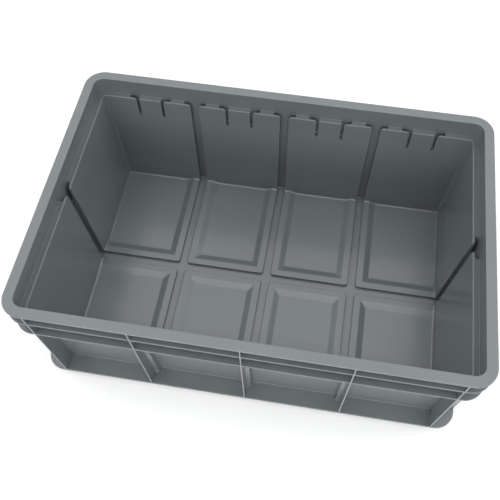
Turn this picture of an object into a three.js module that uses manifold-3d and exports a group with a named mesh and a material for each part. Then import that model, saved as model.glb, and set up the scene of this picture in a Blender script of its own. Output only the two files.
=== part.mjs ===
// Rigid stacking storage crate with divider channels, moulded in one piece of grey plastic.
// Millimetres, +Z up, X along the length. The origin is on the ground under the crate's centre.
// The moulding is divided into its named features: rim, wall panels, divider channels, corners,
// ribs, fins, base flange, floor plate and floor panels. Every contact between two features is
// on a plane square to an axis, and where a drafted or rounded face comes close, FIT_GAP is left.

import * as THREE from 'three';
import { mergeVertices } from 'three/addons/utils/BufferGeometryUtils.js';
import Module from 'manifold-3d';

// Overall size
const LENGTH = 600;
const WIDTH = 400;
const HEIGHT = 220;
const FIT_GAP = 0.25;

// An inset is a distance measured inwards from the 600 x 400 outline.
// Rim: a flat top plate, a skirt under its inner edge, and a ledge at the skirt's foot
const RIM_WIDTH = 14;
const RIM_PLATE = 3;
const SKIRT_OUTER_INSET = 11;
const LEDGE_TOP = 193.25;
const LEDGE_THICKNESS = 3;
const RIM_CORNER_RADIUS = 28;

// Walls: vertical up to WALL_BREAK, then drafted up to the ledge
const WALL_THICKNESS = 3;
const WALL_FOOT_INSET = 29;
const WALL_TOP_INSET = 23;
const WALL_BREAK = 20;
const WALL_CORNER_INSET = 36;
const WALL_BEND_RADIUS = 6;

// Horizontal ribs and base flange, all out to the outline
const UPPER_RIB_TOP = 197.75;
const LOWER_RIB_TOP = 164.75;
const RIB_THICKNESS = 2.5;
const FLANGE_BOTTOM = 14;
const FLANGE_TOP = 17;

// Vertical fins
const FIN_THICKNESS = 3;
const CORNER_FIN_SETBACK = 32.5;
const LAP_DEPTH = 5.5;

// Divider channels in the walls
const CHANNEL_PITCH = 137.5;
const CHANNEL_HALF_WIDTH = 6.25;
const CHANNEL_DEPTH = 9;
const CHANNEL_SKIN = 2.5;
const CHANNEL_NODE_HALF = 19.25;
const POCKET_HALF_WIDTH = 16.75;
const POCKET_BOTTOM = 157.75;
const POCKET_INNER_INSET = 20;
const HOUSING_BOTTOM = 155;
const HOUSING_ROOT_INSET = 21.5;

// Short hook slots, two in each long-side panel
const SLOT_OFFSET = 18.75;
const SLOT_HALF_WIDTH = 2;
const SLOT_POCKET_REACH = 13;
const SLOT_SKIN = 2.5;

// Floor: a plate, with a raised and dished panel in each bay between the floor channels
const FLOOR_PLATE = 2.5;
const FLOOR_STRIP_TOP = 8.25;
const FLOOR_DISH_TOP = 3.75;
const STRIP_EDGE = 16.75;
const DISH_EDGE = 26.25;
const PANEL_CORNER_RADIUS = 5;

const ARC_STEPS = 8;
const HALF_LENGTH = LENGTH / 2;
const HALF_WIDTH = WIDTH / 2;
const RIM_UNDERSIDE = HEIGHT - RIM_PLATE;
const LEDGE_UNDERSIDE = LEDGE_TOP - LEDGE_THICKNESS;
const ABOVE = HEIGHT + 10;
const BAY_CENTRES = [-1.5, -0.5, 0.5, 1.5].map((bay) => bay * CHANNEL_PITCH);
const LONG_CHANNELS = [-CHANNEL_PITCH, 0, CHANNEL_PITCH];

const wasm = await Module();
wasm.setup();

// ---------- closed solids ----------

function toSolid(geometry) {
  const bare = geometry.clone();
  bare.deleteAttribute('normal');
  bare.deleteAttribute('uv');
  const merged = mergeVertices(bare, 1e-5);
  return new wasm.Manifold(new wasm.Mesh({
    numProp: 3,
    vertProperties: new Float32Array(merged.attributes.position.array),
    triVerts: new Uint32Array(merged.index.array),
  }));
}

function toGeometry(solid) {
  const mesh = solid.getMesh();
  const geometry = new THREE.BufferGeometry();
  geometry.setAttribute('position', new THREE.BufferAttribute(mesh.vertProperties, 3));
  geometry.setIndex(new THREE.BufferAttribute(mesh.triVerts, 1));
  return geometry;
}

// A solid lofted through closed loops of equal length, each at its own height.
function loft(levels) {
  const count = levels[0].loop.length;
  const positions = levels.flatMap(({ z, loop }) => loop.flatMap((point) => [point.x, point.y, z]));
  const index = [];
  for (let level = 0; level + 1 < levels.length; level += 1) {
    for (let i = 0; i < count; i += 1) {
      const a = level * count + i;
      const b = level * count + (i + 1) % count;
      index.push(a, b, b + count, a, b + count, a + count);
    }
  }
  const top = (levels.length - 1) * count;
  for (const [a, b, c] of THREE.ShapeUtils.triangulateShape(levels[0].loop, [])) {
    index.push(c, b, a, top + a, top + b, top + c);
  }
  const geometry = new THREE.BufferGeometry();
  geometry.setAttribute('position', new THREE.Float32BufferAttribute(positions, 3));
  geometry.setIndex(index);
  return geometry;
}

function rectangle(x0, x1, y0, y1) {
  return [[x0, y0], [x1, y0], [x1, y1], [x0, y1]].map(([x, y]) => new THREE.Vector2(x, y));
}

function box(x0, x1, y0, y1, z0, z1) {
  const loop = rectangle(x0, x1, y0, y1);
  return toSolid(loft([{ z: z0, loop }, { z: z1, loop }]));
}

// A profile of [inset, height] points on the front side, drawn out from x0 to x1.
function frontPrism(profile, x0, x1) {
  const shape = new THREE.Shape(profile.map(([inset, z]) => new THREE.Vector2(inset - HALF_WIDTH, z)));
  const geometry = new THREE.ExtrudeGeometry(shape, { depth: x1 - x0, bevelEnabled: false });
  const toFront = new THREE.Matrix4().makeBasis(
    new THREE.Vector3(0, 1, 0), new THREE.Vector3(0, 0, 1), new THREE.Vector3(1, 0, 0),
  );
  return geometry.applyMatrix4(toFront).translate(x0, 0, 0);
}

function frontBox(x0, x1, inset0, inset1, z0, z1) {
  return box(x0, x1, inset0 - HALF_WIDTH, inset1 - HALF_WIDTH, z0, z1);
}

function arc(cx, cy, radius, startDegrees, endDegrees) {
  return Array.from({ length: ARC_STEPS + 1 }, (_, step) => {
    const angle = THREE.MathUtils.degToRad(startDegrees + (endDegrees - startDegrees) * step / ARC_STEPS);
    return new THREE.Vector2(cx + radius * Math.cos(angle), cy + radius * Math.sin(angle));
  });
}

// The outline at an inset, with corners about the points at cornerInset, anticlockwise.
function roundedOutline(inset, cornerInset) {
  const x = HALF_LENGTH - cornerInset;
  const y = HALF_WIDTH - cornerInset;
  const radius = cornerInset - inset;
  return [
    ...arc(x, y, radius, 0, 90), ...arc(-x, y, radius, 90, 180),
    ...arc(-x, -y, radius, 180, 270), ...arc(x, -y, radius, 270, 360),
  ];
}

function plate(outline, z0, z1, hole = null) {
  const shape = new THREE.Shape(outline);
  if (hole) shape.holes.push(new THREE.Path(hole));
  const geometry = new THREE.ExtrudeGeometry(shape, { depth: z1 - z0, bevelEnabled: false });
  return geometry.translate(0, 0, z0);
}

// ---------- copies to the other sides ----------

function turned(geometry) {
  return geometry.clone().scale(-1, -1, 1);
}

function mirrored(geometry, signX, signY) {
  const copy = geometry.clone().scale(signX, signY, 1);
  const index = copy.index.array;
  for (let i = 0; i < index.length; i += 3) [index[i], index[i + 1]] = [index[i + 1], index[i]];
  return copy;
}

// Turns a front-side shape onto the left end: its distance from the outline stays the same.
function toLeftEnd(geometry) {
  const quarterTurn = new THREE.Matrix4().makeBasis(
    new THREE.Vector3(0, -1, 0), new THREE.Vector3(1, 0, 0), new THREE.Vector3(0, 0, 1),
  );
  return geometry.clone().applyMatrix4(quarterTurn).translate(HALF_WIDTH - HALF_LENGTH, 0, 0);
}

// ---------- wall profiles ----------

function wallProfile() {
  const outerSlope = (WALL_FOOT_INSET - WALL_TOP_INSET) / (LEDGE_TOP - WALL_BREAK);
  const outerTop = WALL_TOP_INSET - WALL_THICKNESS + outerSlope * LEDGE_THICKNESS;
  return [
    [WALL_FOOT_INSET - WALL_THICKNESS, 0], [WALL_FOOT_INSET, 0], [WALL_FOOT_INSET, WALL_BREAK],
    [WALL_TOP_INSET, LEDGE_TOP], [RIM_WIDTH, LEDGE_TOP], [RIM_WIDTH, LEDGE_UNDERSIDE],
    [outerTop, LEDGE_UNDERSIDE], [WALL_FOOT_INSET - WALL_THICKNESS, WALL_BREAK],
  ];
}

function housing(x0, x1) {
  return frontBox(x0, x1, SKIRT_OUTER_INSET, HOUSING_ROOT_INSET, HOUSING_BOTTOM, LEDGE_UNDERSIDE);
}

function pocket(x0, x1) {
  return frontBox(x0, x1, RIM_WIDTH, POCKET_INNER_INSET, POCKET_BOTTOM, ABOVE);
}

// A wall panel with its ledge, and hook slots where slots gives [centre, outward side].
function wallPanel(x0, x1, slots) {
  let solid = toSolid(frontPrism(wallProfile(), x0, x1));
  for (const [centre, side] of slots) {
    const ends = [centre - side * SLOT_HALF_WIDTH, centre + side * SLOT_POCKET_REACH];
    const low = Math.min(...ends);
    const high = Math.max(...ends);
    solid = solid.add(housing(low - SLOT_SKIN, high + SLOT_SKIN)).subtract(pocket(low, high));
    solid = solid.subtract(frontBox(
      centre - SLOT_HALF_WIDTH, centre + SLOT_HALF_WIDTH, RIM_WIDTH, WALL_CORNER_INSET, POCKET_BOTTOM, ABOVE,
    ));
  }
  return toGeometry(solid);
}

// The stretch of wall round a divider channel: a groove open to the inside and upwards, a
// rounded-back bump outside, and a wider hook pocket behind the lip at the top.
function channelWall(centre) {
  const root = WALL_FOOT_INSET - WALL_THICKNESS / 2;
  const rise = WALL_FOOT_INSET - WALL_TOP_INSET;
  const back = WALL_FOOT_INSET - CHANNEL_DEPTH;
  const bump = back - CHANNEL_SKIN;
  const bumpHalf = CHANNEL_HALF_WIDTH + CHANNEL_SKIN;
  const bumpTop = HOUSING_BOTTOM + WALL_THICKNESS;
  const lean = rise * (bumpTop - WALL_BREAK) / (LEDGE_TOP - WALL_BREAK);
  const bumpProfile = [
    [bump, 0], [root, 0], [root, WALL_BREAK], [root - lean, bumpTop],
    [bump - lean, bumpTop], [bump, WALL_BREAK],
  ];
  const grooveProfile = [
    [back, FLOOR_PLATE], [WALL_CORNER_INSET, FLOOR_PLATE], [WALL_CORNER_INSET, ABOVE],
    [back - rise, ABOVE], [back - rise, LEDGE_TOP], [back, WALL_BREAK],
  ];
  const low = centre - CHANNEL_NODE_HALF;
  const high = centre + CHANNEL_NODE_HALF;
  const solid = toSolid(frontPrism(wallProfile(), low, high))
    .add(toSolid(frontPrism(bumpProfile, centre - bumpHalf, centre + bumpHalf)))
    .add(housing(low, high))
    .subtract(pocket(centre - POCKET_HALF_WIDTH, centre + POCKET_HALF_WIDTH))
    .subtract(toSolid(frontPrism(
      grooveProfile, centre - CHANNEL_HALF_WIDTH, centre + CHANNEL_HALF_WIDTH,
    )));
  return toGeometry(solid);
}

// The quarter turn of wall and ledge at the +X +Y corner. The wall keeps its bend radius all the
// way up, and runs straight from the bend to the panels.
function cornerWall() {
  const x = HALF_LENGTH - WALL_CORNER_INSET;
  const y = HALF_WIDTH - WALL_CORNER_INSET;
  const rimX = HALF_LENGTH - RIM_CORNER_RADIUS;
  const rimY = HALF_WIDTH - RIM_CORNER_RADIUS;
  const bend = (inset, radius) => arc(
    HALF_LENGTH - inset - WALL_BEND_RADIUS, HALF_WIDTH - inset - WALL_BEND_RADIUS, radius, 0, 90,
  );
  const wallLine = (inset, faceInset, radius) => [
    new THREE.Vector2(HALF_LENGTH - faceInset, y), ...bend(inset, radius),
    new THREE.Vector2(x, HALF_WIDTH - faceInset),
  ];
  const innerLine = (inset) => wallLine(inset, inset, WALL_BEND_RADIUS);
  const ringAt = (z, inset) => ({
    z,
    loop: [
      ...wallLine(inset, inset - WALL_THICKNESS, WALL_BEND_RADIUS + WALL_THICKNESS),
      ...innerLine(inset).reverse(),
    ],
  });
  const wall = loft([
    ringAt(0, WALL_FOOT_INSET), ringAt(WALL_BREAK, WALL_FOOT_INSET), ringAt(LEDGE_TOP, WALL_TOP_INSET),
  ]);
  const ledgeOutside = [
    new THREE.Vector2(HALF_LENGTH - RIM_WIDTH, y),
    ...arc(rimX, rimY, RIM_CORNER_RADIUS - RIM_WIDTH, 0, 90),
    new THREE.Vector2(x, HALF_WIDTH - RIM_WIDTH),
  ];
  const ledge = plate(
    [...ledgeOutside, ...innerLine(WALL_TOP_INSET).reverse()], LEDGE_UNDERSIDE, LEDGE_TOP,
  );
  return toGeometry(toSolid(wall).add(toSolid(ledge)));
}

// The upright band between the ledge and the rim, right round the crate.
function rimSkirt() {
  const outside = roundedOutline(SKIRT_OUTER_INSET, RIM_CORNER_RADIUS);
  const inside = roundedOutline(RIM_WIDTH, RIM_CORNER_RADIUS);
  return plate(outside, LEDGE_UNDERSIDE, RIM_UNDERSIDE, inside);
}

// ---------- rim, ribs and flange ----------

// The height of the rim's outer arc where the front strip ends is half the corner radius.
function rimFront() {
  const x = HALF_LENGTH - RIM_CORNER_RADIUS;
  const y = HALF_WIDTH - RIM_CORNER_RADIUS;
  const outline = [
    ...arc(-x, -y, RIM_CORNER_RADIUS, 210, 270), ...arc(x, -y, RIM_CORNER_RADIUS, 270, 330),
  ];
  outline[0].y = RIM_WIDTH - HALF_WIDTH;
  outline[outline.length - 1].y = RIM_WIDTH - HALF_WIDTH;
  return plate(outline, RIM_UNDERSIDE, HEIGHT);
}

function rimRight() {
  const x = HALF_LENGTH - RIM_CORNER_RADIUS;
  const y = HALF_WIDTH - RIM_CORNER_RADIUS;
  const inner = RIM_CORNER_RADIUS - RIM_WIDTH;
  const outer = [
    ...arc(x, -y, RIM_CORNER_RADIUS, 330, 360), ...arc(x, y, RIM_CORNER_RADIUS, 0, 30),
  ];
  outer[0].y = RIM_WIDTH - HALF_WIDTH;
  outer[outer.length - 1].y = HALF_WIDTH - RIM_WIDTH;
  const inside = [...arc(x, y, inner, 90, 0), ...arc(x, -y, inner, 360, 270)];
  return plate([...outer, ...inside], RIM_UNDERSIDE, HEIGHT);
}

// Where the fins stand: along the long sides and along the ends.
const LONG_FINS = [
  CORNER_FIN_SETBACK - HALF_LENGTH, ...LONG_CHANNELS, HALF_LENGTH - CORNER_FIN_SETBACK,
];
const END_FINS = [CORNER_FIN_SETBACK - HALF_WIDTH, 0, HALF_WIDTH - CORNER_FIN_SETBACK];

// Takes blocks [start, end, inset0, inset1] off both long sides of a ring, and off both its ends.
function cutOnSides(solid, longCuts, endCuts, z0, z1) {
  let result = solid;
  for (const [x0, x1, inset0, inset1] of longCuts) {
    result = result.subtract(frontBox(x0, x1, inset0, inset1, z0, z1));
    result = result.subtract(box(x0, x1, HALF_WIDTH - inset1, HALF_WIDTH - inset0, z0, z1));
  }
  for (const [y0, y1, inset0, inset1] of endCuts) {
    result = result.subtract(box(inset0 - HALF_LENGTH, inset1 - HALF_LENGTH, y0, y1, z0, z1));
    result = result.subtract(box(HALF_LENGTH - inset1, HALF_LENGTH - inset0, y0, y1, z0, z1));
  }
  return result;
}

// A rib right round the crate. Each fin passes behind its outer edge.
function ribRing(top, holeInset, holeCornerInset, longBlocks, endBlocks) {
  const bottom = top - RIB_THICKNESS;
  const ring = toSolid(plate(
    roundedOutline(0, RIM_CORNER_RADIUS), bottom, top, roundedOutline(holeInset, holeCornerInset),
  ));
  const finCuts = (places) => places.map((place) => [
    place - FIN_THICKNESS / 2, place + FIN_THICKNESS / 2, LAP_DEPTH, holeInset + 1,
  ]);
  const low = bottom - 1;
  const high = top + 1;
  const laps = cutOnSides(ring, finCuts(LONG_FINS), finCuts(END_FINS), low, high);
  return toGeometry(cutOnSides(laps, longBlocks, endBlocks, low, high));
}

function lowerRibRing() {
  const holeInset = WALL_TOP_INSET - WALL_THICKNESS + FIT_GAP;
  const block = (x0, x1) => [
    x0 - FIT_GAP, x1 + FIT_GAP, SKIRT_OUTER_INSET - FIT_GAP, holeInset + 1,
  ];
  const channelBlock = (centre) => block(centre - CHANNEL_NODE_HALF, centre + CHANNEL_NODE_HALF);
  const slotBlocks = BAY_CENTRES.flatMap((bay) => [-1, 1].map((side) => {
    const centre = bay + side * SLOT_OFFSET;
    const inner = centre - side * (SLOT_HALF_WIDTH + SLOT_SKIN);
    const outer = centre + side * (SLOT_POCKET_REACH + SLOT_SKIN);
    return block(Math.min(inner, outer), Math.max(inner, outer));
  }));
  const longBlocks = [...LONG_CHANNELS.map(channelBlock), ...slotBlocks];
  const holeCornerInset = WALL_TOP_INSET + WALL_BEND_RADIUS;
  return ribRing(LOWER_RIB_TOP, holeInset, holeCornerInset, longBlocks, [channelBlock(0)]);
}

function baseFlange() {
  const holeInset = WALL_FOOT_INSET - WALL_THICKNESS - FIT_GAP;
  const ring = toSolid(plate(
    roundedOutline(0, RIM_CORNER_RADIUS), FLANGE_BOTTOM, FLANGE_TOP,
    roundedOutline(holeInset, WALL_FOOT_INSET + WALL_BEND_RADIUS),
  ));
  const bumpInset = WALL_FOOT_INSET - CHANNEL_DEPTH - CHANNEL_SKIN - FIT_GAP;
  const bumpHalf = CHANNEL_HALF_WIDTH + CHANNEL_SKIN + FIT_GAP;
  const bumpCut = (centre) => [centre - bumpHalf, centre + bumpHalf, bumpInset, holeInset + 1];
  const low = FLANGE_BOTTOM - 1;
  const high = FLANGE_TOP + 1;
  return toGeometry(cutOnSides(ring, LONG_CHANNELS.map(bumpCut), [bumpCut(0)], low, high));
}

// ---------- fins ----------

function fin(place, onChannel) {
  const lap = (top) => [
    [0, top - RIB_THICKNESS], [LAP_DEPTH, top - RIB_THICKNESS], [LAP_DEPTH, top], [0, top],
  ];
  const rise = WALL_FOOT_INSET - WALL_TOP_INSET;
  const steps = onChannel
    ? { shoulder: HOUSING_BOTTOM, foot: WALL_FOOT_INSET - CHANNEL_DEPTH - CHANNEL_SKIN - FIT_GAP }
    : { shoulder: LEDGE_UNDERSIDE, foot: WALL_FOOT_INSET - WALL_THICKNESS - FIT_GAP };
  const lean = rise * (steps.shoulder - WALL_BREAK) / (LEDGE_TOP - WALL_BREAK);
  const profile = [
    [0, FLANGE_TOP], [steps.foot, FLANGE_TOP], [steps.foot, WALL_BREAK],
    [steps.foot - lean, steps.shoulder], [SKIRT_OUTER_INSET, steps.shoulder],
    [SKIRT_OUTER_INSET, RIM_UNDERSIDE], [0, RIM_UNDERSIDE],
    ...lap(UPPER_RIB_TOP).reverse(), ...lap(LOWER_RIB_TOP).reverse(),
  ];
  return frontPrism(profile, place - FIN_THICKNESS / 2, place + FIN_THICKNESS / 2);
}

// ---------- floor ----------

// One floor panel in the rear row (+Y). It is raised beside the floor channels, and dished from
// there to the walls. leftWall or rightWall says that the panel ends at an end wall.
function floorPanel(bay) {
  const leftWall = bay === BAY_CENTRES[0];
  const rightWall = bay === BAY_CENTRES[BAY_CENTRES.length - 1];
  const leftChannel = bay - CHANNEL_PITCH / 2;
  const rightChannel = bay + CHANNEL_PITCH / 2;
  const wallX = HALF_LENGTH - WALL_FOOT_INSET;
  const wallY = HALF_WIDTH - WALL_FOOT_INSET;
  const x0 = leftWall ? -wallX : leftChannel + CHANNEL_HALF_WIDTH;
  const x1 = rightWall ? wallX : rightChannel - CHANNEL_HALF_WIDTH;
  const y0 = CHANNEL_HALF_WIDTH;
  const r = PANEL_CORNER_RADIUS;
  const wallRadius = WALL_BEND_RADIUS + FIT_GAP;
  const outline = [
    ...(leftWall ? [new THREE.Vector2(x0, y0)] : arc(x0 + r, y0 + r, r, 180, 270)),
    ...(rightWall ? [new THREE.Vector2(x1, y0)] : arc(x1 - r, y0 + r, r, 270, 360)),
    ...(rightWall ? arc(x1 - wallRadius, wallY - wallRadius, wallRadius, 0, 90)
      : [new THREE.Vector2(x1, wallY)]),
    ...(leftWall ? arc(x0 + wallRadius, wallY - wallRadius, wallRadius, 90, 180)
      : [new THREE.Vector2(x0, wallY)]),
  ];
  const dishLoop = (edge) => rectangle(
    leftWall ? x0 - edge : leftChannel + edge, rightWall ? x1 + edge : rightChannel - edge,
    edge, wallY + edge,
  );
  const slope = (DISH_EDGE - STRIP_EDGE) / (FLOOR_STRIP_TOP - FLOOR_DISH_TOP);
  const overshoot = 1;
  const dish = toSolid(loft([
    { z: FLOOR_DISH_TOP, loop: dishLoop(DISH_EDGE) },
    { z: FLOOR_STRIP_TOP + overshoot, loop: dishLoop(STRIP_EDGE - slope * overshoot) },
  ]));
  return toGeometry(toSolid(plate(outline, FLOOR_PLATE, FLOOR_STRIP_TOP)).subtract(dish));
}

function floorPlate() {
  const cornerInset = WALL_FOOT_INSET + WALL_BEND_RADIUS + FIT_GAP;
  return plate(roundedOutline(WALL_FOOT_INSET, cornerInset), 0, FLOOR_PLATE);
}

// ---------- the crate ----------

const GREY = 0x83898d;
const group = new THREE.Group();

function place(name, geometry, shade = 1) {
  const color = new THREE.Color(GREY).multiplyScalar(shade);
  const material = new THREE.MeshStandardMaterial({ color, roughness: 0.38, metalness: 0 });
  const mesh = new THREE.Mesh(geometry, material);
  mesh.name = name;
  group.add(mesh);
}

// Puts a front-side shape on the front, and the same shape turned half round on the back.
function placeFrontAndBack(suffix, geometry, backSuffix, shade) {
  place(`front_${suffix}`, geometry, shade);
  place(`back_${backSuffix}`, turned(geometry), shade);
}

function placeLeftAndRight(suffix, geometry, rightSuffix, shade) {
  const left = toLeftEnd(geometry);
  place(`left_${suffix}`, left, shade);
  place(`right_${rightSuffix}`, turned(left), shade);
}

function addRim() {
  const front = rimFront();
  const right = rimRight();
  place('rim_front', front, 1.1);
  place('rim_back', turned(front), 1.1);
  place('rim_right', right, 1.1);
  place('rim_left', turned(right), 1.1);
  place('rim_skirt', rimSkirt());
}

function addWalls() {
  const end = HALF_LENGTH - WALL_CORNER_INSET;
  const sideEnd = HALF_WIDTH - WALL_CORNER_INSET;
  BAY_CENTRES.forEach((bay, i) => {
    const low = i === 0 ? -end : bay - CHANNEL_PITCH / 2 + CHANNEL_NODE_HALF;
    const high = i === 3 ? end : bay + CHANNEL_PITCH / 2 - CHANNEL_NODE_HALF;
    const slots = [[bay - SLOT_OFFSET, -1], [bay + SLOT_OFFSET, 1]];
    placeFrontAndBack(`panel_${i + 1}`, wallPanel(low, high, slots), `panel_${4 - i}`);
  });
  LONG_CHANNELS.forEach((centre, i) => {
    placeFrontAndBack(`channel_${i + 1}`, channelWall(centre), `channel_${3 - i}`, 0.9);
  });
  [[-sideEnd, -CHANNEL_NODE_HALF], [CHANNEL_NODE_HALF, sideEnd]].forEach(([low, high], i) => {
    placeLeftAndRight(`panel_${i + 1}`, wallPanel(low, high, []), `panel_${2 - i}`);
  });
  placeLeftAndRight('channel', channelWall(0), 'channel', 0.9);
  const corner = cornerWall();
  place('corner_back_right', corner, 0.95);
  place('corner_front_left', turned(corner), 0.95);
  place('corner_back_left', mirrored(corner, -1, 1), 0.95);
  place('corner_front_right', mirrored(corner, 1, -1), 0.95);
}

function addStiffeners() {
  const upperHole = SKIRT_OUTER_INSET - FIT_GAP;
  place('upper_rib', ribRing(UPPER_RIB_TOP, upperHole, RIM_CORNER_RADIUS, [], []), 1.05);
  place('lower_rib', lowerRibRing(), 1.05);
  place('base_flange', baseFlange(), 1.05);
  LONG_FINS.forEach((x, i) => {
    const onChannel = LONG_CHANNELS.includes(x);
    placeFrontAndBack(`fin_${i + 1}`, fin(x, onChannel), `fin_${5 - i}`, 0.85);
  });
  END_FINS.forEach((y, i) => {
    placeLeftAndRight(`fin_${i + 1}`, fin(y, y === 0), `fin_${3 - i}`, 0.85);
  });
}

function addFloor() {
  place('floor_plate', floorPlate(), 0.8);
  BAY_CENTRES.forEach((bay, i) => {
    const panel = floorPanel(bay);
    place(`floor_panel_back_${i + 1}`, panel);
    place(`floor_panel_front_${4 - i}`, turned(panel));
  });
}

addRim();
addWalls();
addStiffeners();
addFloor();

export default group;
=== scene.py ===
"""Looks of the stacking crate: one grey moulding with rounded edges, ribs, fins and grooves."""

import math

import bpy
import bmesh
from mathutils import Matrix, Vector


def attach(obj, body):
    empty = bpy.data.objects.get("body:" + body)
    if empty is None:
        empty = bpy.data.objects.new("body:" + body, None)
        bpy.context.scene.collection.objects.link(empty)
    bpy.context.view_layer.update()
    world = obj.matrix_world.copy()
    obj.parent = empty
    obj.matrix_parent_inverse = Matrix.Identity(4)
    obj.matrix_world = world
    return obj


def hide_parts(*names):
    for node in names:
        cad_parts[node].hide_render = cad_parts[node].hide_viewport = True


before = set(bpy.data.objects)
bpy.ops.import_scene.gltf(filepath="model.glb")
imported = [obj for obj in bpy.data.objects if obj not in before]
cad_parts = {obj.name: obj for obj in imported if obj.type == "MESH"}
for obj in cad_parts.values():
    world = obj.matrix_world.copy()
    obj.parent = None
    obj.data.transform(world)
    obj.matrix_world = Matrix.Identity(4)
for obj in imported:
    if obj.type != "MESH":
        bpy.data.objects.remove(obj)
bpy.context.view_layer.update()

MM = 0.001

# ---------------------------------------------------------------- dimensions, in millimetres
# An inset is a distance inwards from the 600 x 400 outline. A corner is the inset of the centre
# that something bends round at the crate's four corners.
HALF_LENGTH = 300.0
HALF_WIDTH = 200.0
HEIGHT = 220.0

RIM_WIDTH = 14.0
RIM_UNDERSIDE = 217.0
RIM_CORNER = 28.0
RIM_OUTER_EDGE = 1.5
RIM_LOWER_EDGE = 0.7
RIM_INNER_EDGE = 0.6
RIM_FILLET = 1.5
RIM_FILLET_MIDDLE = 0.45
SKIRT_OUTER = 11.0
SKIRT_EDGE = 0.8

LEDGE_TOP = 193.25
LEDGE_UNDERSIDE = 190.25
LEDGE_CORNER = 27.0
LEDGE_FILLET = 0.5
LEDGE_FALL = 2.2
LIP_START = 21.8
LIP_DEPTH = 1.2
LIP_MIDDLE = 0.35
LIP_MIDDLE_FALL = 0.6

WALL_BEND = 2.0
LIP_BEND = 3.5
SIDE_END = 36.0
WALL_THICKNESS = 3.0
WALL_FOOT = 29.0
WALL_HEAD = 23.0
WALL_BREAK = 20.0
FOOT_CHAMFER = 0.6
FLOOR_FILLET = 3.0
GROOVE_FLOOR_FILLET = 1.5

PITCH = 137.5
GROOVE_HALF = 6.25
GROOVE_DEPTH = 9.0
GROOVE_EDGE = 1.0
BUMP_FLAT = 6.3
BUMP_SHOULDER = 7.1
BUMP_HALF = 8.75
BUMP_HEIGHT = 8.5
BUMP_CROWN = 1.3
POCKET_HALF = 16.75
POCKET_FLOOR = 157.75
POCKET_FILLET = 1.6
POCKET_REAR = 19.5
POCKET_REAR_EDGE = 0.6
POCKET_END = 3.0
HOUSING_HALF = 19.25
HOUSING_BOTTOM = 155.0

SLOT_OFFSET = 18.75
SLOT_HALF = 2.0
SLOT_EDGE = 0.7
LIP_CORNER = 4.5
INNER_LIP_CORNER = 1.2
SLOT_REACH = 13.0
SLOT_SKIN = 2.5
SLOT_SILL_SETBACK = 0.4
SLOT_SILL_DROP = 0.15

FLOOR_PLATE = 2.5
STRIP_TOP = 8.25
DISH_TOP = 3.75
STRIP_EDGE = 16.75
DISH_EDGE = 26.25

FLANGE_BOTTOM = 14.0
FLANGE_TOP = 17.0
FLANGE_EDGE = 1.1
FLANGE_FILLET = 1.0
LOWER_RIB_BOTTOM = 162.25
LOWER_RIB_TOP = 164.75
UPPER_RIB_BOTTOM = 195.25
UPPER_RIB_TOP = 197.75
RIB_EDGE = 0.9
OVERLAP = 1.2

# ---------------------------------------------------------------- how finely it is drawn
TINY = 1e-4
ARC_STEPS = 14
COLUMN_SPACING = 14.0
EDGE_SHARES = (0.12, 0.4, 1.0)
SLOT_EDGE_SHARES = (0.15, 0.45, 1.0)
LIP_SHARES = (0.4, 0.7, 1.0)
SLOT_LIP_SHARES = (0.35, 0.65, 1.0)
END_SHARES = (0.12, 0.45, 1.0)
SLOT_END_SHARES = (0.92, 0.7, 0.35)
BUMP_PLACES = (1.6, 3.0, 4.5, 6.3, 6.65, 6.95, 7.1, 8.74)
FOOT_HEIGHTS_OUT = (8.0, 15.0)
WALL_HEIGHTS_OUT = (50.0, 90.0, 125.0, 150.0, 154.0)
HOUSED_HEIGHTS_OUT = (160.0, 170.0, 180.0, 188.5)
WALL_HEIGHTS_IN = (185.0, 170.0, 162.0, 158.5)
LOW_HEIGHTS_IN = (156.0, 150.0, 120.0, 90.0, 55.0, 30.0, 20.0)
SLOT_FLOOR_POINTS = len(WALL_HEIGHTS_IN) + 6
# In a groove: heights above the pocket floor on the skirt, and of the edge where the skirt ends.
SKIRT_RISES = (22.0, 18.0, 14.0)
SKIRT_FOOT_RISE = 6.0
SKIRT_FOOT_SETBACK = 0.35
GROOVE_STEP = 0.2


def wall_inset(z):
    """Inset of the wall's inner face: upright at the foot, then drafted outwards."""
    rise = max(0.0, z - WALL_BREAK) / (LEDGE_TOP - WALL_BREAK)
    return WALL_FOOT + (WALL_HEAD - WALL_FOOT) * rise


def wall_corner(z):
    """Inset of the centre that the wall bends round at the crate's corners."""
    return wall_inset(z) + WALL_BEND


# ---------------------------------------------------------------- columns round the outline
BAYS = [(-1.5 + i) * PITCH for i in range(4)]
SIDES = {
    "front": {"normal": (0, -1), "tangent": (1, 0), "half": HALF_WIDTH, "long": True},
    "right": {"normal": (1, 0), "tangent": (0, 1), "half": HALF_LENGTH, "long": False},
    "back": {"normal": (0, 1), "tangent": (-1, 0), "half": HALF_WIDTH, "long": True},
    "left": {"normal": (-1, 0), "tangent": (0, -1), "half": HALF_LENGTH, "long": False},
}
# Each side runs into a corner: its place in x and y, and the angle that its arc starts at.
CORNERS = {"front": (1, -1, -90), "right": (1, 1, 0), "back": (-1, 1, 90), "left": (-1, -1, 180)}


def channels(side):
    """The centre of each divider channel along a side."""
    return [-PITCH, 0.0, PITCH] if side["long"] else [0.0]


def slots(side):
    """[centre, outward direction] of each hook slot."""
    if not side["long"]:
        return []
    return [(bay + way * SLOT_OFFSET, way) for bay in BAYS for way in (-1, 1)]


def rounding(distance, radius):
    """How far a face falls back at this distance from its rounded edge."""
    if distance >= radius:
        return 0.0
    return radius - math.sqrt(max(0.0, radius**2 - (radius - distance) ** 2))


# A stretch of wall with nothing on it. fall, lip_fall, drop, bump and taper are distances that the
# wall's face, its lip's face, its lip's top, its back and a pocket's rear are moved by.
PLAIN = {
    "pocket": False, "groove": False, "slot": None, "housing": False,
    "fall": 0.0, "lip_fall": 0.0, "drop": 0.0, "bump": 0.0, "taper": 0.0,
}


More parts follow.
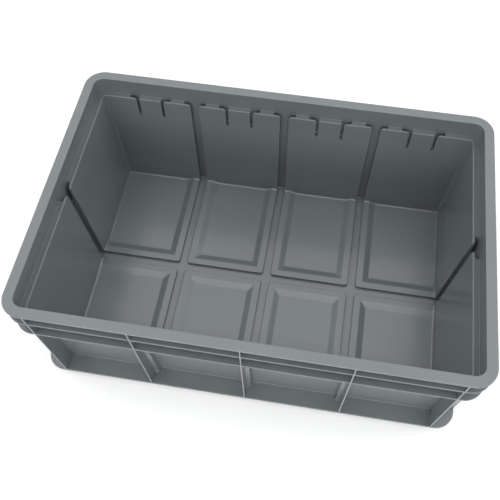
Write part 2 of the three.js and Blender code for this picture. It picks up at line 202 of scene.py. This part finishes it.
def bump_height(u):
    """How far a channel's back stands out: crowned, a rounded shoulder, then a drafted flank."""
    if u < BUMP_SHOULDER:
        edge = rounding(BUMP_SHOULDER - u, BUMP_SHOULDER - BUMP_FLAT)
        return BUMP_HEIGHT - BUMP_CROWN * (u / BUMP_SHOULDER) ** 2 - edge
    shoulder = BUMP_HEIGHT - BUMP_CROWN - (BUMP_SHOULDER - BUMP_FLAT)
    return max(0.0, shoulder * (BUMP_HALF - u) / (BUMP_HALF - BUMP_SHOULDER))


def column_state(side, a):
    """What the wall does at the place a along this side."""
    state = dict(PLAIN)
    for centre in channels(side):
        u = abs(a - centre)
        if u < POCKET_HALF:
            state["pocket"] = True
            state["taper"] = rounding(POCKET_HALF - u, POCKET_END)
        if u < GROOVE_HALF:
            state["groove"] = True
        elif u < GROOVE_HALF + LIP_CORNER:
            state["fall"] = state["lip_fall"] = rounding(u - GROOVE_HALF, GROOVE_EDGE)
            state["drop"] = rounding(u - GROOVE_HALF, LIP_CORNER)
        if u < HOUSING_HALF:
            state["housing"] = True
        state["bump"] = max(state["bump"], bump_height(u))
    for centre, way in slots(side):
        v = (a - centre) * way
        if -SLOT_HALF < v < SLOT_REACH:
            state["pocket"] = True
            state["taper"] = rounding(SLOT_REACH - v, POCKET_END)
        if abs(v) < SLOT_HALF:
            state["slot"] = POCKET_FLOOR + SLOT_HALF - math.sqrt(SLOT_HALF**2 - v * v)
        elif abs(v) < SLOT_HALF + LIP_CORNER:
            state["lip_fall"] = rounding(abs(v) - SLOT_HALF, SLOT_EDGE)
            state["drop"] = rounding(abs(v) - SLOT_HALF, LIP_CORNER if v > 0 else INNER_LIP_CORNER)
        if -SLOT_HALF - SLOT_SKIN < v < SLOT_REACH + SLOT_SKIN:
            state["housing"] = True
    return state


def both_ways(centre, distances):
    return [centre + way * distance for way in (-1, 1) for distance in distances]


def smooth_places(side):
    """Where the wall's shape turns gradually along a side."""
    places = []
    for centre in channels(side):
        places += both_ways(centre, [GROOVE_HALF + GROOVE_EDGE * share for share in EDGE_SHARES])
        places += both_ways(centre, BUMP_PLACES) + [centre]
        places += both_ways(centre, [GROOVE_HALF + LIP_CORNER * share for share in LIP_SHARES])
        places += both_ways(centre, [POCKET_HALF - POCKET_END * share for share in END_SHARES])
    for centre, way in slots(side):
        places += both_ways(centre, [SLOT_HALF + SLOT_EDGE * share for share in SLOT_EDGE_SHARES])
        places += both_ways(centre, [SLOT_HALF + LIP_CORNER * share for share in SLOT_LIP_SHARES])
        places += [centre + way * (SLOT_REACH - POCKET_END * share) for share in END_SHARES]
        places += both_ways(centre, [SLOT_HALF * share for share in SLOT_END_SHARES]) + [centre]
    return places


def step_places(side):
    """Where the wall's shape changes at once along a side, apart from the grooves' edges."""
    places = []
    for centre in channels(side):
        places += both_ways(centre, (POCKET_HALF, HOUSING_HALF))
    for centre, way in slots(side):
        places += [centre + way * distance for distance in (-SLOT_HALF, SLOT_HALF, SLOT_REACH)]
        places += [centre + way * (-SLOT_HALF - SLOT_SKIN), centre + way * (SLOT_REACH + SLOT_SKIN)]
    return places


def groove_edge_columns(side, edge, way):
    """The three columns, outside in, at an edge of a groove."""
    outside = column_state(side, edge + way * TINY)
    between = dict(outside, slot=POCKET_FLOOR)
    inside = dict(column_state(side, edge - way * TINY), bump=outside["bump"])
    return [
        (edge + way * TINY, outside),
        (edge + way * TINY / 2, between),
        (edge - way * TINY, inside),
    ]


def side_columns(name):
    side = SIDES[name]
    end = (HALF_LENGTH if side["long"] else HALF_WIDTH) - SIDE_END
    columns = [(a, column_state(side, a)) for a in smooth_places(side) if abs(a) < end]
    for a in step_places(side):
        if abs(a) < end:
            columns.append((a - TINY, column_state(side, a - 2 * TINY)))
            columns.append((a + TINY, column_state(side, a + 2 * TINY)))
    for centre in channels(side):
        for way in (-1, 1):
            columns += groove_edge_columns(side, centre + way * GROOVE_HALF, way)
    places = sorted(a for a, _ in columns)
    for low, high in zip([-end] + places, places + [end]):
        count = int((high - low) // COLUMN_SPACING)
        for i in range(1, count + 1):
            a = low + (high - low) * i / (count + 1)
            columns.append((a, column_state(side, a)))
    columns.sort(key=lambda item: item[0])
    return [{"side": side, "a": a, **state} for a, state in columns]


def corner_columns(name):
    sx, sy, start = CORNERS[name]
    angles = [math.radians(start + 90 * i / ARC_STEPS) for i in range(ARC_STEPS + 1)]
    return [{"side": None, "corner": (sx, sy), "angle": angle, **PLAIN} for angle in angles]


COLUMNS = [column for name in SIDES for column in side_columns(name) + corner_columns(name)]


def place(column, inset, z, corner_inset):
    """The point of this column at an inset and a height, as a Vector in metres."""
    if column["side"] is None:
        sx, sy = column["corner"]
        reach = corner_inset - inset
        x = sx * (HALF_LENGTH - corner_inset) + reach * math.cos(column["angle"])
        y = sy * (HALF_WIDTH - corner_inset) + reach * math.sin(column["angle"])
        return Vector((x * MM, y * MM, z * MM))
    side = column["side"]
    out = side["half"] - inset
    x = side["tangent"][0] * column["a"] + side["normal"][0] * out
    y = side["tangent"][1] * column["a"] + side["normal"][1] * out
    return Vector((x * MM, y * MM, z * MM))


# ---------------------------------------------------------------- meshes
SMOOTH_ANGLE = 32.0
MERGE_DISTANCE = 1.5e-6
SHORTEST_EDGE = 1e-6


def add_piece(name, bm, replaced):
    """A piece of the body in the grey plastic, in place of the CAD nodes it covers."""
    bmesh.ops.remove_doubles(bm, verts=bm.verts, dist=MERGE_DISTANCE)
    bmesh.ops.dissolve_degenerate(bm, edges=bm.edges, dist=SHORTEST_EDGE)
    bmesh.ops.recalc_face_normals(bm, faces=bm.faces)
    mesh = bpy.data.meshes.new(name)
    bm.to_mesh(mesh)
    bm.free()
    mesh.shade_smooth()
    mesh.set_sharp_from_angle(angle=math.radians(SMOOTH_ANGLE))
    piece = bpy.data.objects.new(name, mesh)
    bpy.context.scene.collection.objects.link(piece)
    mesh.materials.append(PLASTIC)
    weighting = piece.modifiers.new("flat_faces_stay_flat", "WEIGHTED_NORMAL")
    weighting.keep_sharp = True
    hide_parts(*replaced)
    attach(piece, "root")


def sweep(name, section, replaced):
    """A closed band round the crate. section(column) gives its loop of (inset, z, corner inset)."""
    bm = bmesh.new()
    rings = [
        [bm.verts.new(place(column, *point)) for point in section(column)] for column in COLUMNS
    ]
    for ring, following in zip(rings, rings[1:] + rings[:1]):
        for i in range(len(ring)):
            j = (i + 1) % len(ring)
            bm.faces.new((ring[i], following[i], following[j], ring[j]))
    add_piece(name, bm, replaced)


def floor_height(x, y):
    """Height of the floor at a place, in millimetres."""
    nearest = min(abs(x - centre) for centre in (-PITCH, 0.0, PITCH))
    heights = []
    for t in (nearest, abs(y)):
        if t < GROOVE_HALF:
            return FLOOR_PLATE
        slope = (t - STRIP_EDGE) / (DISH_EDGE - STRIP_EDGE)
        lip = STRIP_TOP - rounding(t - GROOVE_HALF, GROOVE_EDGE)
        heights.append(min(lip, STRIP_TOP + (DISH_TOP - STRIP_TOP) * min(1.0, max(0.0, slope))))
    return max(heights)


# ---------------------------------------------------------------- sections of the wall
# A section is a loop of (inset, height, corner). In one band every column has as many points.
def outer_part(column):
    """From the foot up the outside of the wall, under the ledge and up the skirt."""
    foot = WALL_FOOT - WALL_THICKNESS - column["bump"]
    points = [(foot + FOOT_CHAMFER, 0.0, wall_corner(0))]
    points += [(foot, z, wall_corner(0)) for z in FOOT_HEIGHTS_OUT]
    fillet = FLANGE_FILLET
    points += arc_points(foot - fillet, FLANGE_TOP + fillet, fillet, 270, 360, 4, wall_corner(0))
    for z in WALL_HEIGHTS_OUT:
        points.append((wall_inset(z) - WALL_THICKNESS - column["bump"], z, wall_corner(z)))
    if column["housing"]:
        root = wall_inset(HOUSING_BOTTOM) - WALL_THICKNESS - column["bump"]
        count = len(HOUSED_HEIGHTS_OUT)
        for i in range(count + 1):
            inset = root + (SKIRT_OUTER + SKIRT_EDGE - root) * i / count
            points.append((inset, HOUSING_BOTTOM, RIM_CORNER))
        points.append((SKIRT_OUTER, HOUSING_BOTTOM + SKIRT_EDGE, RIM_CORNER))
    else:
        for z in HOUSED_HEIGHTS_OUT:
            points.append((wall_inset(z) - WALL_THICKNESS, z, wall_corner(z)))
        points.append((SKIRT_OUTER + SKIRT_EDGE, LEDGE_UNDERSIDE, RIM_CORNER))
        points.append((SKIRT_OUTER, LEDGE_UNDERSIDE + SKIRT_EDGE, RIM_CORNER))
    return points


def arc_points(centre_inset, centre_z, radius, start, end, steps, corner):
    """Section points on an arc between two angles in degrees."""
    points = []
    for i in range(steps + 1):
        angle = math.radians(start + (end - start) * i / steps)
        points.append(
            (centre_inset + radius * math.cos(angle), centre_z + radius * math.sin(angle), corner)
        )
    return points


def rim_part():
    """Up from the skirt, out under the rim, round its outer edge and over its top."""
    points = [
        (SKIRT_OUTER, RIM_UNDERSIDE - RIM_FILLET, RIM_CORNER),
        (SKIRT_OUTER - RIM_FILLET_MIDDLE, RIM_UNDERSIDE - RIM_FILLET_MIDDLE, RIM_CORNER),
        (SKIRT_OUTER - RIM_FILLET, RIM_UNDERSIDE, RIM_CORNER),
    ]
    edge = RIM_LOWER_EDGE
    points += arc_points(edge, RIM_UNDERSIDE + edge, edge, 270, 180, 2, RIM_CORNER)
    edge = RIM_OUTER_EDGE
    points += arc_points(edge, HEIGHT - edge, edge, 180, 90, 4, RIM_CORNER)
    edge = RIM_INNER_EDGE
    points += arc_points(RIM_WIDTH - edge, HEIGHT - edge, edge, 90, 0, 4, RIM_CORNER)
    return points


def ledge_height(inset):
    """The ledge falls slightly from the lip out to the skirt."""
    return LEDGE_TOP - LEDGE_FALL * (LIP_START - inset) / (LIP_START - RIM_WIDTH)


def groove_part(column):
    """Down the skirt, in to the groove's back and down it to the floor."""
    points = [(RIM_WIDTH, POCKET_FLOOR + rise, RIM_CORNER) for rise in SKIRT_RISES]
    points.append((RIM_WIDTH + SKIRT_FOOT_SETBACK, POCKET_FLOOR + SKIRT_FOOT_RISE, RIM_CORNER))
    back = wall_inset(POCKET_FLOOR) - GROOVE_DEPTH
    points.append((back, POCKET_FLOOR - GROOVE_STEP / 2, RIM_CORNER))
    top = POCKET_FLOOR - GROOVE_STEP
    bottom = LOW_HEIGHTS_IN[0] + GROOVE_STEP
    heights = [
        top + (bottom - top) * i / (SLOT_FLOOR_POINTS - 1) for i in range(SLOT_FLOOR_POINTS)
    ]
    for z in heights + list(LOW_HEIGHTS_IN):
        points.append((wall_inset(z) - GROOVE_DEPTH, z, RIM_CORNER))
    return points + floor_part(column, WALL_FOOT - GROOVE_DEPTH, GROOVE_FLOOR_FILLET)


def slot_points(bottom, rear):
    """From the pocket's rear out through the wall along a slot's bottom."""
    points = []
    face = wall_inset(bottom)
    last = SLOT_FLOOR_POINTS - 1
    for i in range(SLOT_FLOOR_POINTS):
        inset = rear + (face - SLOT_SILL_SETBACK - rear) * (i / last)
        drop = SLOT_SILL_DROP if i == last else 0.0
        points.append((inset, bottom - drop, RIM_CORNER))
    return points


def lip_points(column, level, rear):
    """Over the ledge or up a pocket's rear, over the lip and down to the pocket floor's height."""
    points = [(rear, level if column["pocket"] else ledge_height(rear), LEDGE_CORNER)]
    rear_drop = POCKET_REAR_EDGE if column["pocket"] else 0.0
    for inset, extra in ((rear, rear_drop), (rear + POCKET_REAR_EDGE, 0.0)):
        points.append((inset, ledge_height(inset) - column["drop"] - extra, LEDGE_CORNER))
    fall = column["lip_fall"]
    top = LEDGE_TOP - column["drop"]
    head = wall_inset(LEDGE_TOP - LIP_DEPTH)
    corner = wall_inset(LEDGE_TOP) + LIP_BEND
    points.append((LIP_START, top, corner))
    points.append((head - LIP_MIDDLE - fall * LIP_MIDDLE_FALL, top - LIP_MIDDLE, corner))
    points.append((head - fall, top - LIP_DEPTH, corner))
    return points + [(wall_inset(z) - fall, z, wall_corner(z)) for z in WALL_HEIGHTS_IN]


def inner_part(column):
    """Down the skirt, over the ledge and lip, and down the wall to the floor."""
    if column["groove"]:
        return groove_part(column)
    rear = POCKET_REAR - column["taper"]
    fillet = POCKET_FILLET if column["pocket"] else LEDGE_FILLET
    level = POCKET_FLOOR if column["pocket"] else ledge_height(RIM_WIDTH + fillet)
    points = arc_points(RIM_WIDTH + fillet, level + fillet, fillet, 180, 270, 4, RIM_CORNER)
    if column["slot"] is not None:
        points += slot_points(column["slot"], rear)
    else:
        points += lip_points(column, level, rear)
    points += [(wall_inset(z) - column["fall"], z, wall_corner(z)) for z in LOW_HEIGHTS_IN]
    return points + floor_part(column, WALL_FOOT, FLOOR_FILLET)


# The wall's section closes under the floor: heights and distances that nothing shows.
FLOOR_SINK = 0.03
CLOSING_HEIGHT = 0.3
CLOSING_STEP = 0.5
CLOSING_REACH = 1.0
GROOVE_CLOSING_REACH = 0.7


def floor_part(column, inset, radius):
    """The fillet from the wall to the floor, and back down inside the foot."""
    corner = wall_corner(0)
    if column["side"] is None:
        radius = min(radius, WALL_BEND)
    x, y, _ = place(column, inset + radius, 0.0, corner) / MM
    if column["side"] is None:
        z = DISH_TOP
    elif column["groove"]:
        z = FLOOR_PLATE
    else:
        z = floor_height(x, y)
    z -= FLOOR_SINK
    points = arc_points(inset + radius, z + radius, radius, 180, 270, 4, corner)
    points[0] = (inset, points[0][1], corner)
    end = inset + radius - GROOVE_CLOSING_REACH if column["groove"] else WALL_FOOT - CLOSING_REACH
    step = inset + radius - CLOSING_STEP
    return points + [(step, CLOSING_HEIGHT, corner), (end, 0.0, corner)]


def shell_section(column):
    """The whole wall, from foot to rim and back down inside."""
    return outer_part(column) + rim_part() + inner_part(column)


def plate_section(top, bottom, inner, corner, radius):
    """A thin flange out to the outline, with its outer edges rounded."""
    points = [(inner, bottom, corner)]
    points += arc_points(radius, bottom + radius, radius, 270, 180, 3, RIM_CORNER)
    points += arc_points(radius, top - radius, radius, 180, 90, 3, RIM_CORNER)
    return points + [(inner, top, corner)]


def upper_rib_section(column):
    inner = SKIRT_OUTER + OVERLAP
    return plate_section(UPPER_RIB_TOP, UPPER_RIB_BOTTOM, inner, RIM_CORNER, RIB_EDGE)


def lower_rib_section(column):
    middle = (LOWER_RIB_TOP + LOWER_RIB_BOTTOM) / 2
    inner = wall_inset(middle) - WALL_THICKNESS + OVERLAP
    corner = wall_corner(middle)
    if column["housing"]:
        inner = SKIRT_OUTER + OVERLAP
        corner = RIM_CORNER
    return plate_section(LOWER_RIB_TOP, LOWER_RIB_BOTTOM, inner, corner, RIB_EDGE)


def flange_section(column):
    inner = WALL_FOOT - WALL_THICKNESS - column["bump"] + OVERLAP
    return plate_section(FLANGE_TOP, FLANGE_BOTTOM, inner, wall_corner(0), FLANGE_EDGE)


# ---------------------------------------------------------------- fins
FIN_HALF = 1.5
FIN_TIP_HALF = 1.0
FIN_EDGE = 0.6
FIN_FACE = 0.25
FIN_BOTTOM = 15.5
FIN_SINK = 1.0
CORNER_FIN_SETBACK = 32.5
CORNER_FIN_FOOT = 27.8
CHANNEL_FIN_FOOT = 18.7


def fin_profile(on_channel):
    """A fin's outline as (inset, height): it leans with the wall, then steps out to the skirt."""
    foot = CHANNEL_FIN_FOOT if on_channel else CORNER_FIN_FOOT
    shoulder = (HOUSING_BOTTOM if on_channel else LEDGE_UNDERSIDE) + FIN_SINK
    lean = wall_inset(0) - wall_inset(shoulder)
    top = RIM_UNDERSIDE + FIN_SINK
    return [
        (FIN_FACE, FIN_BOTTOM), (foot, FIN_BOTTOM), (foot, WALL_BREAK), (foot - lean, shoulder),
        (SKIRT_OUTER + OVERLAP, shoulder), (SKIRT_OUTER + OVERLAP, top), (FIN_FACE, top),
    ]


def add_fin(side_name, number, a, on_channel):
    """A fin that thins a little towards its outer face, with that face's long edges rounded."""
    side = SIDES[side_name]
    bm = bmesh.new()
    layers = []
    for way in (-1, 1):
        layer = []
        for inset, z in fin_profile(on_channel):
            half = FIN_TIP_HALF + (FIN_HALF - FIN_TIP_HALF) * inset / WALL_FOOT
            layer.append(bm.verts.new(place({"side": side, "a": a + way * half}, inset, z, 0)))
        layers.append(layer)
    low, high = layers
    count = len(low)
    bm.faces.new(low)
    bm.faces.new(list(reversed(high)))
    for i in range(count):
        j = (i + 1) % count
        bm.faces.new((low[j], low[i], high[i], high[j]))
    outer = [bm.edges.get((layer[0], layer[-1])) for layer in layers]
    bmesh.ops.bevel(bm, geom=outer, offset=FIN_EDGE * MM, segments=3, profile=0.5, affect="EDGES")
    add_piece(f"fin_{side_name}_{number}", bm, [f"{side_name}_fin_{number}"])


# ---------------------------------------------------------------- floor
LOOP_STEPS = 6
CROSSING_RADIUS = 5.0
DISH_RADIUS = 3.0
BAND_RADIUS = 1.6
BAY_OVERLAP = 0.7
BAY_SHRINK = 0.02
BAY_CORNER = 0.5
BAY_SINK = 0.5
BAY_EDGE_ANGLES = (90, 66, 42, 20, 0)
DISH_RING = 4.0
# The band from a strip down to a dish: its share of the band's width and of its fall.
BAND = ((-0.10, 0.0), (0.0, 0.035), (0.1, 0.115), (0.9, 0.9), (1.0, 0.975), (1.12, 1.0))


def rounded_loop(x0, x1, y0, y1, radii, z):
    """A loop with its own radius at each corner: (x0,y0), (x1,y0), (x1,y1), (x0,y1)."""
    loop = []
    corners = [(x0, y0, 1, 1, 180), (x1, y0, -1, 1, 270), (x1, y1, -1, -1, 0), (x0, y1, 1, -1, 90)]
    for (x, y, kx, ky, start), radius in zip(corners, radii):
        for i in range(LOOP_STEPS + 1):
            angle = math.radians(start + 90 * i / LOOP_STEPS)
            loop.append(Vector((
                (x + kx * radius + radius * math.cos(angle)) * MM,
                (y + ky * radius + radius * math.sin(angle)) * MM,
                z * MM,
            )))
    return loop


def floor_levels():
    """The bay's loops, outside in: (distance from the groove's axis, height, corner radius)."""
    levels = [(GROOVE_HALF, FLOOR_PLATE - BAY_SINK, CROSSING_RADIUS)]
    for degrees in BAY_EDGE_ANGLES:
        angle = math.radians(degrees)
        distance = GROOVE_HALF + GROOVE_EDGE * (1 - math.sin(angle))
        z = STRIP_TOP - GROOVE_EDGE + GROOVE_EDGE * math.cos(angle)
        levels.append((distance, z, CROSSING_RADIUS))
    fall = STRIP_TOP - DISH_TOP
    for share, drop in BAND:
        distance = STRIP_EDGE + (DISH_EDGE - STRIP_EDGE) * share
        levels.append((distance, STRIP_TOP - fall * drop, BAND_RADIUS + max(0.0, share)))
    levels.append((DISH_EDGE + DISH_RING, DISH_TOP, DISH_RADIUS))
    return levels


def add_floor_bay(index, row):
    """row is 1 for the back row and -1 for the front row."""
    centre = BAYS[index]
    wall_x = HALF_LENGTH - WALL_FOOT + BAY_OVERLAP
    wall_y = HALF_WIDTH - WALL_FOOT + BAY_OVERLAP
    bm = bmesh.new()
    rings = []
    for depth, (distance, z, radius) in enumerate(floor_levels()):
        shrink = BAY_SHRINK * depth
        left = -wall_x + shrink if index == 0 else centre - PITCH / 2 + distance
        right = wall_x - shrink if index == 3 else centre + PITCH / 2 - distance
        far = wall_y - shrink
        radii = [radius, radius, BAY_CORNER, BAY_CORNER]
        if index == 0:
            radii[0] = BAY_CORNER
        if index == 3:
            radii[1] = BAY_CORNER
        loop = rounded_loop(left, right, distance, far, radii, z)
        if row < 0:
            loop = [Vector((v.x, -v.y, v.z)) for v in loop]
        rings.append([bm.verts.new(v) for v in loop])
    for outer, inner in zip(rings, rings[1:]):
        for i in range(len(outer)):
            j = (i + 1) % len(outer)
            bm.faces.new((outer[i], outer[j], inner[j], inner[i]))
    bm.faces.new(rings[-1])
    bm.faces.new(list(reversed(rings[0])))
    side = "back" if row > 0 else "front"
    add_piece(f"floor_bay_{side}_{index + 1}", bm, [f"floor_panel_{side}_{index + 1}"])


PLATE_EDGE = 28.4
PLATE_CHAMFER = 0.5
GROOVE_FLOOR_ENDS = (19.0, 28.6)
GROOVE_FLOOR_HALF = GROOVE_HALF + 0.5


def add_base_plate():
    """The plate under the bays: its top is the floor of the grooves, its underside is the foot."""
    bm = bmesh.new()
    rings = []
    levels = [(PLATE_EDGE, FLOOR_PLATE), (PLATE_EDGE, PLATE_CHAMFER)]
    levels.append((PLATE_EDGE + PLATE_CHAMFER, 0.0))
    for inset, z in levels:
        ring = []
        for name in SIDES:
            for column in corner_columns(name):
                ring.append(bm.verts.new(place(column, inset, z, wall_corner(0))))
        rings.append(ring)
    for upper, lower in zip(rings, rings[1:]):
        for i in range(len(upper)):
            j = (i + 1) % len(upper)
            bm.faces.new((upper[j], upper[i], lower[i], lower[j]))
    bm.faces.new(rings[0])
    bm.faces.new(list(reversed(rings[-1])))
    for side in SIDES.values():
        for centre in channels(side):
            add_groove_floor(bm, side, centre)
    add_piece("base_plate", bm, ["floor_plate"])


def add_groove_floor(bm, side, centre):
    """The stretch of groove floor that runs out through the wall."""
    outer, inner = GROOVE_FLOOR_ENDS
    low_a, high_a = centre - GROOVE_FLOOR_HALF, centre + GROOVE_FLOOR_HALF
    corners = [(outer, low_a), (outer, high_a), (inner, high_a), (inner, low_a)]
    top, low = [
        [bm.verts.new(place({"side": side, "a": a}, inset, z, 0)) for inset, a in corners]
        for z in (FLOOR_PLATE, 0.0)
    ]
    bm.faces.new(top)
    bm.faces.new(list(reversed(low)))
    for i in range(4):
        j = (i + 1) % 4
        bm.faces.new((top[j], top[i], low[i], low[j]))


# ---------------------------------------------------------------- material
DARKER_GREY = (0.131, 0.149, 0.156, 1)
LIGHTER_GREY = (0.145, 0.165, 0.172, 1)
GREY_RANGE = (0.3, 0.72)
SATIN_ROUGHNESS = (0.19, 0.23)
SCUFF_ROUGHNESS = (-0.02, 0.04)
GRAIN_STRENGTH = 0.12
GRAIN_DEPTH = 0.0003


def map_range(tree, source, before, after, interpolation="LINEAR"):
    """A value mapped from one (low, high) range to another."""
    node = tree.nodes.new("ShaderNodeMapRange")
    node.interpolation_type = interpolation
    for name, value in zip(("From Min", "From Max", "To Min", "To Max"), before + after):
        node.inputs[name].default_value = value
    tree.links.new(source, node.inputs["Value"])
    return node.outputs["Result"]


def plastic_material():
    """Satin grey moulded plastic: fine grain, faint flow marks, light scuffs."""
    material = bpy.data.materials.new("moulded_plastic")
    material.use_nodes = True
    nodes, links = material.node_tree.nodes, material.node_tree.links
    shader = nodes["Principled BSDF"]
    place_in = nodes.new("ShaderNodeTexCoord")

    def noise(scale, detail, roughness=0.5):
        node = nodes.new("ShaderNodeTexNoise")
        node.inputs["Scale"].default_value = scale
        node.inputs["Detail"].default_value = detail
        node.inputs["Roughness"].default_value = roughness
        links.new(place_in.outputs["Object"], node.inputs["Vector"])
        return node

    broad = noise(7.0, 2.0)
    fine = noise(420.0, 3.0, 0.6)
    scuff = noise(55.0, 5.0, 0.7)

    ramp = nodes.new("ShaderNodeValToRGB")
    greys = (DARKER_GREY, LIGHTER_GREY)
    for element, position, grey in zip(ramp.color_ramp.elements, GREY_RANGE, greys):
        element.position = position
        element.color = grey
    links.new(broad.outputs["Fac"], ramp.inputs["Fac"])
    links.new(ramp.outputs["Color"], shader.inputs["Base Color"])

    tree = material.node_tree
    scuffing = map_range(tree, scuff.outputs["Fac"], (0.35, 0.75), SCUFF_ROUGHNESS)
    satin = map_range(tree, broad.outputs["Fac"], (0.3, 0.7), SATIN_ROUGHNESS)
    rough = nodes.new("ShaderNodeMath")
    rough.operation = "ADD"
    links.new(scuffing, rough.inputs[0])
    links.new(satin, rough.inputs[1])
    links.new(rough.outputs["Value"], shader.inputs["Roughness"])

    bump = nodes.new("ShaderNodeBump")
    bump.inputs["Strength"].default_value = GRAIN_STRENGTH
    bump.inputs["Distance"].default_value = GRAIN_DEPTH
    links.new(fine.outputs["Fac"], bump.inputs["Height"])
    links.new(bump.outputs["Normal"], shader.inputs["Normal"])
    shader.inputs["IOR"].default_value = 1.5
    shader.inputs["Specular IOR Level"].default_value = 0.8
    return material


PLASTIC = plastic_material()

WALL_NODES = [f"{side}_panel_{i}" for side in ("front", "back") for i in range(1, 5)]
WALL_NODES += [f"{side}_channel_{i}" for side in ("front", "back") for i in range(1, 4)]
WALL_NODES += [f"{side}_panel_{i}" for side in ("left", "right") for i in (1, 2)]
WALL_NODES += ["left_channel", "right_channel"]
WALL_NODES += [f"corner_{y}_{x}" for y in ("front", "back") for x in ("left", "right")]
WALL_NODES += [f"rim_{side}" for side in SIDES] + ["rim_skirt"]

sweep("wall_shell", shell_section, WALL_NODES)
sweep("upper_rib_band", upper_rib_section, ["upper_rib"])
sweep("lower_rib_band", lower_rib_section, ["lower_rib"])
sweep("base_flange_band", flange_section, ["base_flange"])
add_base_plate()
for bay_index in range(4):
    for bay_row in (-1, 1):
        add_floor_bay(bay_index, bay_row)

for side_name, side in SIDES.items():
    end = (HALF_LENGTH if side["long"] else HALF_WIDTH) - CORNER_FIN_SETBACK
    places = [-end] + channels(side) + [end]
    for position, a in enumerate(places):
        number = len(places) - position if side_name in ("back", "right") else position + 1
        add_fin(side_name, number, a, a in channels(side))


# ---------------------------------------------------------------- studio, in metres
GROUND_HALF = 30.0
GROUND_GLOW_REACH = (1.6, 5.0)
GROUND_GLOW = (0.12, 0.85)
SKY_BAND = (0.0, 0.2)
SKY_STRENGTH = (0.85, 0.04)


def add_sky():
    """A pale band round the horizon that fades to a dim sky above."""
    world = bpy.data.worlds.new("studio")
    bpy.context.scene.world = world
    world.use_nodes = True
    nodes, links = world.node_tree.nodes, world.node_tree.links
    background = nodes["Background"]
    background.inputs["Color"].default_value = (0.96, 0.98, 1.0, 1)
    places = nodes.new("ShaderNodeTexCoord")
    split = nodes.new("ShaderNodeSeparateXYZ")
    links.new(places.outputs["Generated"], split.inputs["Vector"])
    band = map_range(world.node_tree, split.outputs["Z"], SKY_BAND, SKY_STRENGTH, "SMOOTHSTEP")
    links.new(band, background.inputs["Strength"])


def add_ground():
    """A white floor that glows more with distance, so that it stays pale beyond the lights."""
    bm = bmesh.new()
    bmesh.ops.create_grid(bm, x_segments=1, y_segments=1, size=GROUND_HALF)
    mesh = bpy.data.meshes.new("ground")
    bm.to_mesh(mesh)
    bm.free()
    ground = bpy.data.objects.new("ground", mesh)
    bpy.context.scene.collection.objects.link(ground)
    material = bpy.data.materials.new("ground_white")
    material.use_nodes = True
    tree = material.node_tree
    nodes, links = tree.nodes, tree.links
    shader = nodes["Principled BSDF"]
    shader.inputs["Base Color"].default_value = (0.9, 0.9, 0.9, 1)
    shader.inputs["Roughness"].default_value = 0.9
    shader.inputs["Emission Color"].default_value = (1, 1, 1, 1)
    places = nodes.new("ShaderNodeTexCoord")
    distance = nodes.new("ShaderNodeVectorMath")
    distance.operation = "LENGTH"
    links.new(places.outputs["Object"], distance.inputs[0])
    reach = distance.outputs["Value"]
    glow = map_range(tree, reach, GROUND_GLOW_REACH, GROUND_GLOW, "SMOOTHSTEP")
    links.new(glow, shader.inputs["Emission Strength"])
    mesh.materials.append(material)


def add_area(name, location, target, size_x, size_y, power):
    """A softbox at a place, turned towards a target."""
    light = bpy.data.lights.new(name, "AREA")
    light.shape = "RECTANGLE"
    light.size = size_x
    light.size_y = size_y
    light.energy = power
    holder = bpy.data.objects.new(name, light)
    holder.location = location
    direction = Vector(target) - Vector(location)
    holder.rotation_euler = direction.to_track_quat("-Z", "Y").to_euler()
    bpy.context.scene.collection.objects.link(holder)


def add_camera():
    """The camera looks down into the crate from above its front, a little from the right."""
    data = bpy.data.cameras.new("camera")
    data.sensor_width = 36.0
    data.lens = 45.53
    data.shift_x = -0.0286
    data.shift_y = -0.0153
    data.clip_start = 0.01
    camera = bpy.data.objects.new("camera", data)
    camera.location = (0.06809, -0.43545, 0.92963)
    tilt, roll, turn = 28.72, 0.06, 9.055
    camera.rotation_euler = (math.radians(tilt), math.radians(roll), math.radians(turn))
    bpy.context.scene.collection.objects.link(camera)
    bpy.context.scene.camera = camera


add_ground()
add_area("overhead", (0.0, 1.0, 2.0), (0, 1.0, 0), 3.6, 2.8, 43)
add_area("overhead_front", (0.0, -0.7, 2.0), (0, -0.7, 0), 3.6, 0.6, 23)
add_area("front_low", (0.0, -2.4, 0.85), (0, 0, 0.1), 2.4, 0.5, 22)
add_area("front_high", (0.0, -2.1, 1.5), (0, 0, 0.1), 2.4, 0.5, 13)
add_area("left", (-2.2, 0.0, 1.2), (0, 0, 0.1), 2.0, 1.0, 15.5)
add_area("right", (2.2, 0.0, 1.2), (0, 0, 0.1), 2.0, 1.0, 15.5)
add_area("right_rear", (2.1, 1.1, 1.2), (0, 0, 0.1), 2.0, 1.0, 7.5)

add_camera()

add_sky()
bpy.context.scene.view_settings.view_transform = "Standard"
